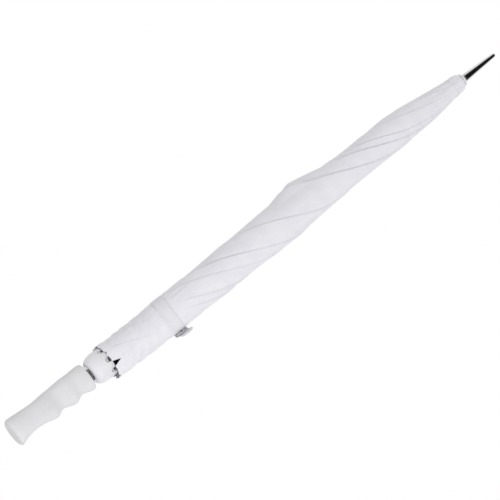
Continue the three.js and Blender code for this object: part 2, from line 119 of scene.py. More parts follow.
# Tip cup: a slot in its rim for each rib tip, round at the bottom
CUP_BELL = [(0, 14.1), (1, 16.4), (2.9, 18.9), (7.7, 21.8), (13.2, 23)]  # height above its bottom, and radius
CUP_BELL_RINGS = 40
CUP_BOTTOM_R = 13.6
CUP_WALL = 1.5
CUP_FLOOR = 2.2
CUP_INSIDE_FROM = 2.4
CUP_LIP = ((-0.15, 0), (-0.5, 0), (-1.3, 0))  # corners of the rim, from its outer edge
CUP_LIP_DROP = 0.3
CUP_SLOT_Z = 172.0
CUP_SLOT_R = 3.75
CUP_SLOT_POINTS = 15
CUP_SLOT_SIDE = 1.015  # where the rim is at full height again, in radii of the slot
CUP_SLOT_EDGE = 1.001  # up to here a point lies in the slot, in radii of the slot
CUP_RIM_POINTS = 12
CUP_NECK_Z = 158.0

# Collar and spike: the spike's shoulder stands on the collar
COLLAR_EDGE_R = 1.5
SPIKE_SPIGOT_R = 5.6
SPIKE_GAP = 0.4
SPIKE_SHOULDER_R = 6.8
SPIKE_SHOULDER = ((0, 0), (0, 3), (-0.5, 3.4), (-0.5, 4.2), (-0.3, 4.8))  # from the edge of its lower face
SPIKE_END = ((3.4, -2.6), (1.6, 0))  # radius, and height from the top
SPIKE_EDGE_R = 1.1
SPIKE_SIDES = 72

# Furled canopy: outer radius by height, and how far the cloth's middle lies off the shaft towards +X
SKIN_R = [
    (178, 26.6), (200, 27.5), (255, 28), (272, 28.4), (293, 28.2), (314, 28.6), (345, 28.6), (440, 29.5),
    (530, 31), (630, 27.2), (700, 25.6), (790, 25.4), (825, 22.8), (850, 20.2), (886, 16.3), (902, 15.1),
]
SWAY = [(178, 3.4), (290, 2.6), (790, -2.4), (850, -0.6), (904, 0.6)]
CANOPY_TOP = 902.0
RIB_COVER = 0.7  # least distance from a rib's outer face to the outermost cloth
SLEEVE_COVER = 1.5  # and how much more it is over the sleeves of the rib tips, below SLEEVE_Z
SLEEVE_Z = 193.0
SLEEVE_FADE = 9.0
COVER_SOFTNESS = 0.35

# The cloth's relief. Each wave is its amount, its number round the shaft, the millimetres of height for a
# radian of it, and its phase. A table called STRENGTH scales a relief by height.

# Spiral folds: the heights at which their edges cross azimuth -90 degrees, and the height of each step
FOLD_PITCH = 440.0
FOLD_CROSSINGS = (389, 439, 531, 662, 728, 761)
FOLD_STEPS = (1.4, 1.2, 1.7, 1.8, 1.3, 1.1)
FOLD_EDGE = 4.0
FOLD_RISE = 1.4  # power of the slow rise up to an edge
FOLD_GROOVE = 0.45
FOLD_GROOVE_REACH = 2.2
FOLD_STEEP_Z = 780.0  # above it the folds climb more steeply
FOLD_STEEPNESS = 0.65
FOLD_STRENGTH = [(178, 0.5), (240, 0.3), (283, 0), (303, 0), (345, 1), (800, 1), (870, 0.6), (904, 0.2)]

# Slanting creases between hem and strap, which climb against the spiral
CREASES_ROUND = 7
CREASE_CLIMB = 18.0
CREASE_WARP = ((1.1, 3, 23, 0), (0.8, 4, -31, 1))
CREASE_HEIGHT = 2.5
CREASE_VARIATION = ((0.4, 3, -21, 0.7),)
CREASE_SHARPNESS = 2.2
CREASE_MEAN = 0.38
CREASE_STRENGTH = [(178, 0), (196, 0.6), (215, 1), (258, 1), (276, 0.3), (290, 0)]

# Upright puckers on both sides of the strap, and the swelling there
PINCHES_ROUND = 14
PINCH_CLIMB = 30.0
PINCH_WARP = 1.6
PINCH_HEIGHT = 0.5
PINCH_PHASE = 2.2
PINCH_STRENGTH = [(262, 0), (276, 0.6), (284, 0), (302, 0), (312, 1), (345, 0)]
SWELL_HEIGHT = 0.9
SWELL_OFF = 16.0
SWELL_REACH = 6.0

# Gathers that run down from the crown
GATHERS_ROUND = 7
GATHER_CLIMB = 70.0
GATHER_WARP = ((1.2, 2, 90, 0),)
GATHER_HEIGHT = 1.3
GATHER_PHASE = 1.3
GATHER_SHARPNESS = 0.9
GATHER_STRENGTH = [(780, 0), (840, 0.8), (885, 1), (904, 0.6)]

# The corner of a fold that stands out on the plain side
PEAK_Z = 576.0
PEAK_HEIGHT = 12.6
PEAK_BELOW = 48.0
PEAK_ABOVE = 62.0
PEAK_AZIMUTH = math.pi
PEAK_SPREAD = math.radians(48)
PEAK_ROUNDING = (0.006, 0.01)  # along the shaft and round it
PEAK_SHARPNESS = (1.25, 1.1)

# Slow unevenness of the rest
SLACK_HEIGHT = 0.45
SLACK_WAVES = ((1, 3, 43, 0), (1, 2, -61, 2))
SLACK_STRENGTH = [(300, 0), (345, 1), (820, 1), (860, 0)]

# Gores: the flat cut of one, and how its cloth is pleated inside the skin when furled
HEM_Z = 175.2
HEM_DIP = 1.2  # how much lower the visible hem hangs between two ribs than on them
NOTCHES = (  # depth, middle and half width of the gap left between the folds, in shares of the gore's arc
    (2, 0.6, 0.2), (13, 0.45, 0.22), (3, 0.5, 0.2), (3, 0.55, 0.24),
    (1.5, 0.4, 0.2), (2.5, 0.5, 0.16), (13, 0.44, 0.2), (2, 0.6, 0.2),
)
NOTCH_BULGE = 0.9
PLEAT_HEM_Z = 175.8
PLEAT_HEM = (7.0, 0.9)  # rise of the pleats' hem from the ribs to the middle, and the power it rises with
OPEN_NOTCH_HEM = (48.0, 0.3)  # the same where the pleats leave a notch empty
OPEN_NOTCH_GORE = 6
OPEN_TILT = math.radians(75.03)
PLEATS = 26
PLEAT_COLUMNS = 6
PLEAT_ROWS = 88
PLEAT_MARGIN = 1.0
PLEAT_OFF_RIB = 0.2
PLEAT_CLEARANCE = 2.4  # from the skin's mean surface, more than its relief is deep
PLEAT_LEAST_DEPTH = 0.3
PLEAT_LEAST_WIDTH = 0.05
SKIN_COLUMNS = 33
SKIN_ROWS_PER_PLEAT_ROW = 4
TUCKS = ((-0.055, 0.7), (-0.028, 0.35))  # share of a gore's arc and depth of the cloth under its neighbour
TUCK_RISE = 2.0

# Crown cloth under the collar: height and radius
CROWN = [(899, 15.6), (906, 15.1), (912, 14.8), (916.4, 14.2), (919, 12.7), (920.4, 10.2), (920.6, 7.6)]
CROWN_COLUMNS = 144
CROWN_ROWS = 26
CROWN_FREE_Z = 909.0  # below it the crown takes on the shape of the gores it lies on
CROWN_STEP = 0.2
CROWN_PUCKER = 0.35
CROWN_PUCKER_R = (9, 14)  # it grows between these radii
CROWN_WARP = 0.9
CROWN_FULLNESS = 2  # flat cloth for each millimetre of the gathered crown

# Closure strap, tab and snap
STRAP_Z = 293.0
STRAP_HALF_WIDTH = 10.0
STRAP_R = 29.2
STRAP_THICK = 0.8
STRAP_CENTRE_X = 2.37
STRAP_START = math.radians(14)
STRAP_END = math.radians(-318)
STRAP_SLANT = 0.27  # rise of the strap for each millimetre towards +Y
STRAP_POINTS = 150
TAB_RAISE = 4.5
TAB_HALF_WIDTH = 12.0
TAB_PATH = [(22.3, 18.9), (29, 13), (35, 7.8), (35.3, 0), (36.6, -7.4), (39.6, -12)]
TAB_POINTS = 48
BAND_CORNER = 0.45  # radius of a band's round end, in half widths
BAND_ACROSS = np.array([-1, -0.97, -0.8, -0.72, -0.4, 0, 0.4, 0.72, 0.8, 0.97, 1])
BAND_THICKNESS = np.array([0.35, 0.9, 1.05, 0.8, 1.1, 1.15, 1.1, 0.8, 1.05, 0.9, 0.35])  # in STRAP_THICK

# Snap: radius, and height as a share of the disc's thickness
SNAP_SOCKET = ((0, 0), (6, 0), (6, 0.7), (4.6, 1), (3.2, 1), (2.9, 0.5), (0, 0.5))
SNAP_CAP = ((0, 0.3), (2.6, 0.3), (2.9, 0), (5.6, 0), (7, 0.35), (7, 0.8), (5, 1), (0, 0.9))
SNAP_EDGE_R = 0.5
SNAP_SIDES = 48

# Stitches and weave, in metres
STITCH_LENGTH = 0.003
STITCH_HALF_WIDTH = 0.0003
STITCH_SHARE = 0.7
STITCH_CONTRAST = 0.35
HEM_STITCHES = 0.006
STRAP_STITCHES = 0.0018
CANOPY_WEAVE = 0.0006
STRAP_WEAVE = 0.0008
OFF_SEAM = 0.01  # what UV map edges holds where the cloth is away from its seam
OFF_HEM = 0.02  # and away from its hem

# Camera and studio
CAMERA_TILT = math.radians(22)
CAMERA_ROLL = math.radians(38.34)
CAMERA_AIM = (2.7, 0.0, 460.3)
CAMERA_DISTANCE = 3200.0
CAMERA_LENS = 153.4
SENSOR_WIDTH = 36
CLIP_RANGE = (0.05, 60)  # in metres
FLOOR_Z = -1600.0
FLOOR_HALF = 14000.0
LAMP_PLACE = (0.9, -1.7, -1.3)
LAMP_SIZE = 0.5
LAMP_POWER = 19
BRIGHT_SIDE = Vector((0.7, -0.5, -0.5)).normalized()
LIGHTING = (0.80, 1.01)  # strength of the surround opposite the bright side and on it
DARK_SIDE = Vector((0.25, -0.9, -0.36)).normalized()
DARK_EDGE = (-0.14, 0.16)  # cosines from the dark side between which the reflected panel fades in
REFLECTED = (1.0, 0.01)  # what metal reflects outside the dark panel and in it


# ------------------------------------------------------------------------------------ curves and meshes
def along(points, z):
    """The value at each z of a smooth curve through (z, value) points, held level beyond both ends."""
    heights, values = np.array(points, float).T
    slopes = np.empty_like(values)
    slopes[1:-1] = (values[2:] - values[:-2]) / (heights[2:] - heights[:-2])
    slopes[0] = (values[1] - values[0]) / (heights[1] - heights[0])
    slopes[-1] = (values[-1] - values[-2]) / (heights[-1] - heights[-2])
    z = np.clip(z, heights[0], heights[-1])
    i = np.clip(np.searchsorted(heights, z, side="right") - 1, 0, len(heights) - 2)
    h = heights[i + 1] - heights[i]
    t = (z - heights[i]) / h
    rise = t * t * (3 - 2 * t)
    bend = t * (1 - t) * h
    return values[i] + (values[i + 1] - values[i]) * rise + bend * ((1 - t) * slopes[i] - t * slopes[i + 1])


def soft_step(x):
    x = np.clip(x, 0, 1)
    return x * x * (3 - 2 * x)


def grid_faces(rows, columns, start=0, closed=False):
    """Quads of a grid whose vertex in a row and column is start + row * columns + column."""
    across = columns if closed else columns - 1
    row, column = np.meshgrid(np.arange(rows - 1), np.arange(across), indexing="ij")
    a = start + row * columns + column
    b = start + row * columns + (column + 1) % columns
    return np.stack([a, b, b + columns, a + columns], axis=-1).reshape(-1, 4).tolist()


def end_faces(rows, columns):
    """The two faces that close the ends of a closed grid."""
    return [list(range(columns))[::-1], list(range((rows - 1) * columns, rows * columns))]


def ring_points(r, azimuth, z):
    """Points (x, y, z) from cylinder coordinates that broadcast to a grid."""
    return np.stack([r * np.cos(azimuth), r * np.sin(azimuth), z + 0 * azimuth], axis=-1)


def waves(azimuth, z, terms):
    """The sum of waves that climb round the shaft."""
    return sum(amount * np.sin(turns * azimuth + z / climb + phase) for amount, turns, climb, phase in terms)


def mesh_piece(name, points, faces, material, uv=None):
    """A smooth mesh object of points in millimetres. uv gives each layer's name its points, in metres."""
    mesh = bpy.data.meshes.new(name)
    mesh.from_pydata((np.asarray(points, float) * MM).tolist(), [], faces)
    mesh.validate()
    mesh.polygons.foreach_set("use_smooth", [True] * len(mesh.polygons))
    if uv is not None:
        corner = np.empty(len(mesh.loops), np.int32)
        mesh.loops.foreach_get("vertex_index", corner)
        for layer_name, values in uv.items():
            layer = mesh.uv_layers.new(name=layer_name)
            layer.data.foreach_set("uv", np.asarray(values, float)[corner].ravel())
    mesh.materials.append(material)
    piece = bpy.data.objects.new(name, mesh)
    bpy.context.scene.collection.objects.link(piece)
    return piece


def rounded(corners, radius):
    """An open outline of (r, z) corners with each inner corner turned by an arc of about that radius."""
    corners = [np.array(c, float) for c in corners]
    outline = [corners[0]]
    for before, corner, after in zip(corners, corners[1:], corners[2:]):
        back, on = before - corner, after - corner
        back_length, on_length = np.linalg.norm(back), np.linalg.norm(on)
        reach = min(radius, ARC_SHARE * back_length, ARC_SHARE * on_length)
        start = corner + back / back_length * reach
        end = corner + on / on_length * reach
        for step in range(ARC_STEPS + 1):
            t = step / ARC_STEPS
            outline.append((1 - t) ** 2 * start + 2 * t * (1 - t) * corner + t * t * end)
    outline.append(corners[-1])
    return outline


def turned(name, outline, material, segments=64, place=None, angles=None, reshape=None):
    """A piece turned about Z from an outline of (r, z) points that starts and ends on the axis or closes.
    place is a matrix, angles replaces the even steps round the axis, and reshape turns the grid of heights
    into new ones."""
    outline = np.array(outline, float)
    on_axis = outline[0][0] < AXIS_R
    if angles is None:
        angles = np.linspace(0, 2 * math.pi, segments, endpoint=False)
    segments = len(angles)
    r = np.maximum(outline[:, :1], AXIS_R if on_axis else 0)
    z = np.repeat(outline[:, 1:], segments, axis=1)
    if reshape is not None:
        z = reshape(z)
    points = np.stack([r * np.cos(angles), r * np.sin(angles), z], axis=-1).reshape(-1, 3)
    rows = len(outline)
    faces = grid_faces(rows, segments, closed=True)
    if on_axis:
        faces += end_faces(rows, segments)
    else:
        last = (rows - 1) * segments
        for k in range(segments):
            after = (k + 1) % segments
            faces.append([last + k, last + after, after, k])
    if place is not None:
        points = (np.array(place) @ np.c_[points, np.ones(len(points))].T).T[:, :3]
    return mesh_piece(name, points, faces, material)


# ------------------------------------------------------------------------------------ node helpers
def new_material(name, colour, roughness, metallic=0.0):
    material = bpy.data.materials.new(name)
    material.use_nodes = True
    material.diffuse_color = (*colour, 1)
    shader = material.node_tree.nodes["Principled BSDF"]
    shader.inputs["Base Color"].default_value = (*colour, 1)
    shader.inputs["Roughness"].default_value = roughness
    shader.inputs["Metallic"].default_value = metallic
    return material, material.node_tree, shader


def add(tree, kind, settings=None, inputs=None):
    """A new node with its settings, and its inputs set to a value or linked to an output."""
    node = tree.nodes.new(kind)
    for key, value in (settings or {}).items():
        setattr(node, key, value)
    for key, value in (inputs or {}).items():
        if isinstance(value, bpy.types.NodeSocket):
            tree.links.new(value, node.inputs[key])
        else:
            node.inputs[key].default_value = value
    return node


def maths(tree, operation, a, b=0.0):
    return add(tree, "ShaderNodeMath", {"operation": operation}, {0: a, 1: b}).outputs[0]


def object_point(tree, stretch=(1, 1, 1)):
    coordinates = add(tree, "ShaderNodeTexCoord").outputs["Object"]
    return add(tree, "ShaderNodeMapping", None, {"Vector": coordinates, "Scale": stretch}).outputs[0]


def noise(tree, point, scale, detail=3.0):
    settings = {"Vector": point, "Scale": scale, "Detail": detail}
    return add(tree, "ShaderNodeTexNoise", None, settings).outputs["Fac"]


def ramp(tree, value, low, high, start, end):
    inputs = {"Value": value, "From Min": start, "From Max": end, "To Min": low, "To Max": high}
    return add(tree, "ShaderNodeMapRange", None, inputs).outputs[0]


def tint(tree, value, low, high, start=0.3, end=0.7):
    """A colour that goes from low to high as the value goes from start to end."""
    share = ramp(tree, value, 0, 1, start, end)
    node = add(tree, "ShaderNodeMix", {"data_type": "RGBA"}, {"Factor": share})
    node.inputs["A"].default_value = (*low, 1)
    node.inputs["B"].default_value = (*high, 1)
    return node.outputs["Result"]


def bump(tree, height, distance, strength=1.0, under=None):
    inputs = {"Height": height, "Distance": distance, "Strength": strength}
    if under is not None:
        inputs["Normal"] = under
    return add(tree, "ShaderNodeBump", None, inputs).outputs["Normal"]


# ------------------------------------------------------------------------------------ materials
def grip_rubber():
    material, tree, shader = new_material("grip_rubber", (0.71, 0.70, 0.72), 0.6)
    point = object_point(tree)
    cloudy = noise(tree, point, 22)
    grain = noise(tree, point, 1400, 2)
    tree.links.new(tint(tree, cloudy, (0.68, 0.67, 0.69), (0.74, 0.73, 0.75)), shader.inputs["Base Color"])
    tree.links.new(ramp(tree, cloudy, 0.52, 0.68, 0.3, 0.7), shader.inputs["Roughness"])
    tree.links.new(bump(tree, grain, 0.00012, 0.6), shader.inputs["Normal"])
    shader.inputs["Sheen Weight"].default_value = 0.08
    return material


def white_plastic():
    material, tree, shader = new_material("white_plastic", (0.77, 0.765, 0.80), 0.3)
    point = object_point(tree)
    cloudy = noise(tree, point, 30)
    orange_peel = noise(tree, point, 420, 1)
    tree.links.new(tint(tree, cloudy, (0.75, 0.745, 0.785), (0.80, 0.795, 0.82)), shader.inputs["Base Color"])
    tree.links.new(ramp(tree, cloudy, 0.26, 0.38, 0.3, 0.7), shader.inputs["Roughness"])
    tree.links.new(bump(tree, orange_peel, 0.00006, 0.4), shader.inputs["Normal"])
    return material


def metal(name, low, high, roughness, streak, edge=0.0, metallic=1.0):
    """Plated or bare metal. low and high are colours and roughness is a range, streak is how much the faint
    scratches lie along Z, and edge is the radius that sharp edges seem to have."""
    material, tree, shader = new_material(name, high, roughness[0], metallic)
    point = object_point(tree, (1, 1, 1 / streak))
    scratches = noise(tree, point, 900, 4)
    cloudy = noise(tree, object_point(tree), 60)
    tree.links.new(tint(tree, cloudy, low, high), shader.inputs["Base Color"])
    tree.links.new(ramp(tree, scratches, *roughness, 0.35, 0.7), shader.inputs["Roughness"])
    under = None
    if edge:
        under = add(tree, "ShaderNodeBevel", {"samples": 4}, {"Radius": edge}).outputs[0]
    tree.links.new(bump(tree, scratches, 0.00002, 0.5, under), shader.inputs["Normal"])
    return material


def weave_height(tree, point, pitch):
    """The height of a plain weave of that pitch, in metres, over a UV point in metres."""
    split = add(tree, "ShaderNodeSeparateXYZ", None, {0: point}).outputs
    turns = [maths(tree, "MULTIPLY", split[axis], 2 * math.pi / pitch) for axis in (0, 1)]
    return maths(tree, "MULTIPLY", maths(tree, "SINE", turns[0]), maths(tree, "SINE", turns[1]))


def stitches(tree, across, along_it, line):
    """1 on the dashes of a line of stitches at that distance across, and 0 elsewhere."""
    off = maths(tree, "ABSOLUTE", maths(tree, "SUBTRACT", across, line))
    near = maths(tree, "LESS_THAN", off, STITCH_HALF_WIDTH)
    phase = maths(tree, "FRACT", maths(tree, "DIVIDE", along_it, STITCH_LENGTH))
    return maths(tree, "MULTIPLY", near, maths(tree, "LESS_THAN", phase, STITCH_SHARE))


def sewn_cloth(name, colour, roughness, clouds, plain, thread, across, line):
    """Cloth with a line of stitches. UV map weave runs along the cut, and UV map edges holds two distances:
    across is the number of the one that the line is measured by. Gives the material with its parts."""
    material, tree, shader = new_material(name, colour, roughness)
    point = add(tree, "ShaderNodeUVMap", {"uv_map": "weave"}).outputs[0]
    edges = add(tree, "ShaderNodeUVMap", {"uv_map": "edges"}).outputs[0]
    split = add(tree, "ShaderNodeSeparateXYZ", None, {0: edges}).outputs
    cloudy = noise(tree, point, *clouds)
    sewn = stitches(tree, split[across], split[1 - across], line)
    share = maths(tree, "MULTIPLY", sewn, STITCH_CONTRAST)
    coloured = add(tree, "ShaderNodeMix", {"data_type": "RGBA"}, {"Factor": share})
    tree.links.new(tint(tree, cloudy, *plain), coloured.inputs["A"])
    coloured.inputs["B"].default_value = (*thread, 1)
    tree.links.new(coloured.outputs["Result"], shader.inputs["Base Color"])
    return material, tree, shader, point, cloudy


def canopy_cloth():
    """Thin plain-weave polyester, stitched along its hem. Its edges are the distance from the seam and from
    the hem."""
    plain = ((0.765, 0.76, 0.81), (0.815, 0.81, 0.85))
    material, tree, shader, point, cloudy = sewn_cloth(
        "canopy_cloth", (0.79, 0.785, 0.83), 0.55, (35, 4), plain, (0.62, 0.61, 0.66), 1, HEM_STITCHES
    )
    thread = noise(tree, point, 1100, 2)
    tree.links.new(ramp(tree, thread, 0.5, 0.66, 0.3, 0.7), shader.inputs["Roughness"])
    weave = bump(tree, weave_height(tree, point, CANOPY_WEAVE), 0.00003, 0.5)
    tree.links.new(bump(tree, cloudy, 0.0012, 0.35, weave), shader.inputs["Normal"])
    shader.inputs["Sheen Weight"].default_value = 0.12
    shader.inputs["Specular IOR Level"].default_value = 0.35
    return material


def strap_cloth():
    """Sewn band. Its edges are the distance from the nearer long edge and the distance along it."""
    plain = ((0.75, 0.745, 0.79), (0.80, 0.795, 0.835))
    material, tree, shader, point, _ = sewn_cloth(
        "strap_cloth", (0.78, 0.775, 0.81), 0.6, (60, 3), plain, (0.58, 0.57, 0.62), 0, STRAP_STITCHES
    )
    tree.links.new(bump(tree, weave_height(tree, point, STRAP_WEAVE), 0.00008, 0.6), shader.inputs["Normal"])
    shader.inputs["Sheen Weight"].default_value = 0.1
    return material


GRIP_RUBBER = grip_rubber()
WHITE_PLASTIC = white_plastic()
CHROME = metal("chrome", (0.74, 0.74, 0.75), (0.84, 0.84, 0.85), (0.04, 0.11), 1)
SPIKE_CHROME = metal("spike_chrome", (0.58, 0.58, 0.59), (0.66, 0.66, 0.67), (0.05, 0.12), 6)
SATIN_NICKEL = metal("satin_nickel", (0.80, 0.80, 0.80), (0.88, 0.88, 0.87), (0.42, 0.55), 1, metallic=0.3)
STEEL = metal("steel", (0.40, 0.405, 0.415), (0.56, 0.56, 0.57), (0.25, 0.42), 12, edge=0.0003)
CANOPY_CLOTH = canopy_cloth()
STRAP_CLOTH = strap_cloth()


# ------------------------------------------------------------------------------------ handle end
def finish_piece(piece, body, slot, *nodes):
    """The piece rides on the body and stands for the nodes, which it hides. slot is not used."""
    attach(piece, body)
    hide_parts(*nodes)


def node_span(name):
    """Lowest and highest z of a CAD node, and its reach towards +X."""
    low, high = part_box(name)
    return low.z / MM, high.z / MM, high.x / MM


def signed_power(value, exponent):
    return np.sign(value) * np.abs(value) ** exponent


def make_grip():
    low, high, _ = node_span("grip")
    edge = np.array(GRIP_EDGE_RINGS)
    between = np.arange(low + GRIP_BUTT_R, high - GRIP_RIM_R, GRIP_RING_STEP)
    heights = np.concatenate([low + GRIP_BUTT_R * edge, between, high - GRIP_RIM_R * edge[::-1]])
    radius = np.where(heights < high / 2, GRIP_BUTT_R, GRIP_RIM_R)
    near_end = np.clip(np.minimum(heights - low, high - heights) / radius, 0, 1)
    drawn_in = radius * (1 - np.sqrt(1 - (1 - near_end) ** 2))
    angles = np.linspace(0, 2 * math.pi, GRIP_SIDES, endpoint=False)
    cos, sin = np.cos(angles), np.sin(angles)
    ridges = along(GRIP_RIDGES, heights)[:, None]
    grooves = along(GRIP_FRONT, heights)[:, None] - ridges
    back = along(GRIP_BACK, heights)[:, None]
    side = along(GRIP_HALF_WIDTH, heights)[:, None] - drawn_in[:, None]
    dent = grooves * np.clip((cos + GROOVE_WRAP) / (1 + GROOVE_WRAP), 0, 1) ** GROOVE_FADE
    reach = np.where(cos > 0, ridges, back) - drawn_in[:, None]
    x = reach * signed_power(cos, GRIP_SQUARENESS) + dent * cos
    y = side * signed_power(sin, GRIP_SQUARENESS) + dent * sin
    z = np.repeat(heights[:, None], GRIP_SIDES, axis=1)
    wall = np.stack([x, y, z], axis=-1)
    hole = np.stack([SHAFT_HOLE_R * cos, SHAFT_HOLE_R * sin, np.full_like(cos, high)], axis=-1)
    bore_floor = hole - [0, 0, high - GRIP_BORE_FLOOR]
    rings = [wall[0] * [share, share, 1] for share in GRIP_BUTT_RINGS]
    rings += list(wall)
    rings += [wall[-1] * (1 - share) + hole * share for share in GRIP_TOP_RINGS]
    rings += [bore_floor, bore_floor * [GRIP_BORE_INNER, GRIP_BORE_INNER, 1]]
    faces = grid_faces(len(rings), GRIP_SIDES, closed=True) + end_faces(len(rings), GRIP_SIDES)
    grip = mesh_piece("grip_shell", np.concatenate(rings), faces, GRIP_RUBBER)
    finish_piece(grip, "shaft_assembly", "grip", "grip")


def make_ferrule_ring():
    bottom, top, outer = node_span("ferrule_ring")
    waist = outer - FERRULE_GROOVE_DEPTH
    middle = (bottom + top) / 2
    outline = rounded(
        [
            (SHAFT_HOLE_R, bottom), (outer, bottom), (outer, middle - FERRULE_GROOVE_MOUTH),
            (waist, middle - FERRULE_GROOVE_FLOOR), (waist, middle + FERRULE_GROOVE_FLOOR),
            (outer, middle + FERRULE_GROOVE_MOUTH), (outer, top), (SHAFT_HOLE_R, top),
        ],
        FERRULE_EDGE_R,
    )
    ring = turned("ferrule_ring_bead", outline, CHROME, FERRULE_SIDES)
    finish_piece(ring, "shaft_assembly", "chrome", "ferrule_ring")


def make_tip_cup():
    bottom, rim, rim_r = node_span("tip_cup")
    bell = [(bottom + up, r) for up, r in CUP_BELL] + [(rim, rim_r)]
    outer = [(float(along(bell, z)), z) for z in np.linspace(bottom, rim, CUP_BELL_RINGS)]
    floor = bottom + CUP_FLOOR
    inner = [(r - CUP_WALL, max(z, floor)) for r, z in outer[::-1] if z > bottom + CUP_INSIDE_FROM]
    lip = [(rim_r + r, rim + z) for r, z in CUP_LIP]
    outline = [(SHAFT_HOLE_R, bottom), (CUP_BOTTOM_R, bottom)] + outer[:-1] + [(rim_r, rim - CUP_LIP_DROP)]
    outline += lip + inner[1:] + [(SHAFT_HOLE_R, floor)]
    edge = CUP_SLOT_R / rim_r
    in_slot = edge * np.sin(np.linspace(-math.pi / 2, math.pi / 2, CUP_SLOT_POINTS))
    between = np.linspace(edge * CUP_SLOT_SIDE, RIB_STEP - edge * CUP_SLOT_SIDE, CUP_RIM_POINTS)
    angles = np.concatenate([i * RIB_STEP + np.concatenate([in_slot, between]) for i in range(RIBS)])
    off = np.abs((angles + RIB_STEP / 2) % RIB_STEP - RIB_STEP / 2) * rim_r
    slot_floor = CUP_SLOT_Z - np.sqrt(np.maximum(CUP_SLOT_R**2 - off**2, 0))
    rim_at = np.where(off <= CUP_SLOT_R * CUP_SLOT_EDGE, slot_floor, rim)

    def lowered(z):
        share = np.clip((z - CUP_NECK_Z) / (rim - CUP_NECK_Z), 0, 1)
        return np.where(z > CUP_NECK_Z, CUP_NECK_Z + share * (rim_at - CUP_NECK_Z), z)

    cup = turned("tip_cup_bell", outline, WHITE_PLASTIC, angles=angles, reshape=lowered)
    finish_piece(cup, "shaft_assembly", "white_plastic", "tip_cup")


# ------------------------------------------------------------------------------------ top end
def make_collar():
    bottom, top, outer = node_span("collar")
    corners = [(SHAFT_HOLE_R, bottom), (outer, bottom), (outer, top), (SHAFT_HOLE_R, top)]
    collar = turned("collar_ring", rounded(corners, COLLAR_EDGE_R), WHITE_PLASTIC)
    finish_piece(collar, "shaft_assembly", "white_plastic", "collar")


def make_spike():
    bottom, top, _ = node_span("spike")
    collar_top = node_span("collar")[1]
    shoulder = collar_top + SPIKE_GAP
    corners = [(0, bottom), (SPIKE_SPIGOT_R, bottom), (SPIKE_SPIGOT_R, shoulder)]
    corners += [(SPIKE_SHOULDER_R + r, shoulder + z) for r, z in SPIKE_SHOULDER]
    corners += [(r, top + z) for r, z in SPIKE_END] + [(0, top)]
    spike = turned("spike_taper", rounded(corners, SPIKE_EDGE_R), SPIKE_CHROME, SPIKE_SIDES)
    finish_piece(spike, "shaft_assembly", "spike_chrome", "spike")


def make_crown():
    """The gathered cloth that covers the notch and is held under the collar."""
    heights, radii = np.array(CROWN, float).T
    steps = np.concatenate([[0], np.cumsum(np.hypot(np.diff(heights), np.diff(radii)))])
    at = np.linspace(0, steps[-1], CROWN_ROWS)
    z = np.interp(at, steps, heights)[:, None]
    r = np.interp(at, steps, radii)[:, None]
    azimuth = np.linspace(0, 2 * math.pi, CROWN_COLUMNS, endpoint=False)[None, :]
    flat_from, full_from = CROWN_PUCKER_R
    pucker = CROWN_PUCKER * np.clip((r - flat_from) / (full_from - flat_from), 0, 1)
    r = r + pucker * np.sin(GATHERS_ROUND * azimuth + CROWN_WARP * np.sin(2 * azimuth))
    over_gores = soft_step((CROWN_FREE_Z - z) / (CROWN_FREE_Z - heights[0]))
    r = r + (skin_r(azimuth, z) + CROWN_STEP - r) * over_gores
    points = ring_points(r, azimuth, z).reshape(-1, 3)
    hem = np.repeat(at * MM, CROWN_COLUMNS)
    uv = {
        "weave": points[:, :2] * CROWN_FULLNESS * MM,
        "edges": np.c_[np.full(len(hem), OFF_SEAM), hem],
    }
    faces = grid_faces(CROWN_ROWS, CROWN_COLUMNS, closed=True)
    crown = mesh_piece("crown_cloth", points, faces, CANOPY_CLOTH, uv)
    finish_piece(crown, "shaft_assembly", "canopy_cloth", "rosette")
    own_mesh(crown)


# ------------------------------------------------------------------------------------ rib tips
def rib_place(i):
    """The matrix that takes the rib's own frame, with its hinge at the origin, to rib i."""
    spoke = Matrix.Rotation(i * RIB_STEP, 4, "Z")
    return spoke @ Matrix.Translation((HINGE_R, 0, HINGE_Z)) @ Matrix.Rotation(-RIB_LEAN, 4, "Y")


def make_rib_tip(i):
    ball = [
        (TIP_BALL_R * math.sin(angle), -TIP_ALONG - TIP_BALL_R * math.cos(angle))
        for angle in np.linspace(0, TIP_BALL_TURN, TIP_BALL_RINGS)
    ]
    neck = (TIP_SLEEVE_R - TIP_NECK_STEP, -TIP_ALONG + TIP_BALL_R * TIP_NECK_AT)
    edge_in, edge_down = TIP_SLEEVE_EDGE
    sleeve = [
        neck,
        (TIP_SLEEVE_R, -TIP_ALONG + TIP_SLEEVE_AT),
        (TIP_SLEEVE_R, -TIP_SLEEVE_TOP - edge_down),
        (TIP_SLEEVE_R - edge_in, -TIP_SLEEVE_TOP),
        (TIP_BORE_R, -TIP_SLEEVE_TOP),
        (TIP_BORE_R, -TIP_BORE_END),
        (0, -TIP_BORE_END),
    ]
    outline = [p for p in ball if p[1] < neck[1]] + sleeve
    tip = turned(f"rib_tip_ball_{i}", outline, CHROME, TIP_SIDES, rib_place(i))
    finish_piece(tip, f"rib_assembly_{i}", "chrome", f"rib_tip_{i}")


# ------------------------------------------------------------------------------------ canopy
def rib_r(z):
    return HINGE_R + (HINGE_Z - z) * math.tan(RIB_LEAN)


